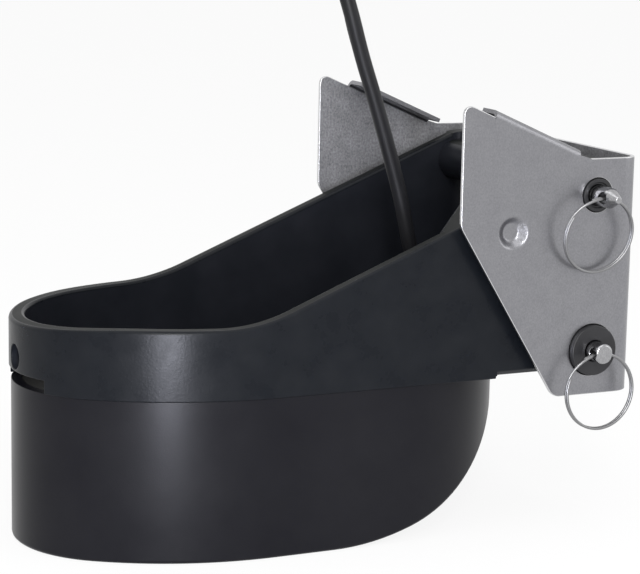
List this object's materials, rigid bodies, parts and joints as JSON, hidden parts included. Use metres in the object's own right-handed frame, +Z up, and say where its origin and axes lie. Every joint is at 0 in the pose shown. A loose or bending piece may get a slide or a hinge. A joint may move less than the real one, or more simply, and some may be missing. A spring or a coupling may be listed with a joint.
{
  "type": "sonar transducer",
  "caption": "Transom-mount sonar transducer: potted oval body under an open sloping housing, pinned in a folded steel bracket with split rings, cable rising from the housing.",
  "frame": {"origin": "On the flat bottom of the lower body, on its centre plane, 98 mm ahead of the rear tip", "axes": "+X forward to the transom face of the bracket, +Y to the side away from the split rings, +Z up"},
  "size_m": [0.2348, 0.2754, 0.2531],
  "materials": {
    "shell_black": "satin",
    "element_ceramic": "fired, silvered faces",
    "backing_cork": "cork",
    "sensor_brass": "bare",
    "lead_red": "insulated wire",
    "potting_grey": "cast resin",
    "housing_black": "satin moulded",
    "screw_steel": "stainless",
    "bracket_steel": "stainless sheet, mill grain",
    "bushing_black": "turned plastic",
    "pin_steel": "stainless, turned",
    "ring_steel": "bright stainless wire",
    "gland_rubber": "moulded rubber",
    "cable_black": "smooth jacket",
    "tie_black": "nylon strap",
    "plug_black": "moulded",
    "contact_brass": "plated contacts"
  },
  "bodies": {
    "transducer": {"transducer_shell": "shell_black", "low_freq_elements": "element_ceramic", "high_freq_element": "element_ceramic", "element_backing": "backing_cork", "temperature_sensor": "sensor_brass", "element_leads": "lead_red", "potting_fill": "potting_grey", "housing": "housing_black", "floor_screws": "screw_steel", "bracket": "bracket_steel", "pivot_bushing_near": "bushing_black", "pivot_bushing_far": "bushing_black", "lock_bushing_near": "bushing_black", "lock_bushing_far": "bushing_black", "pivot_pin": "pin_steel", "lock_pin": "pin_steel", "cable_gland": "gland_rubber", "cable": "cable_black", "cable_coil": "cable_black", "cable_tail": "cable_black", "coil_ties": "tie_black", "connector_boot": "gland_rubber", "connector_body": "plug_black", "connector_seal": "gland_rubber", "connector_insert": "contact_brass"},
    "lower_ring": {"pivot_ring": "ring_steel"},
    "upper_ring": {"lock_ring": "ring_steel"}
  },
  "joints": [
    {"name": "lower_ring_swing", "type": "hinge", "parent": "transducer", "child": "lower_ring", "pos_m": [0.1161, -0.0711, 0.0722], "axis": [-1, 0, 0], "range_deg": [-10, 170]},
    {"name": "upper_ring_swing", "type": "hinge", "parent": "transducer", "child": "upper_ring", "pos_m": [0.1161, -0.0726, 0.1336], "axis": [-1, 0, 0], "range_deg": [-3, 180]}
  ]
}
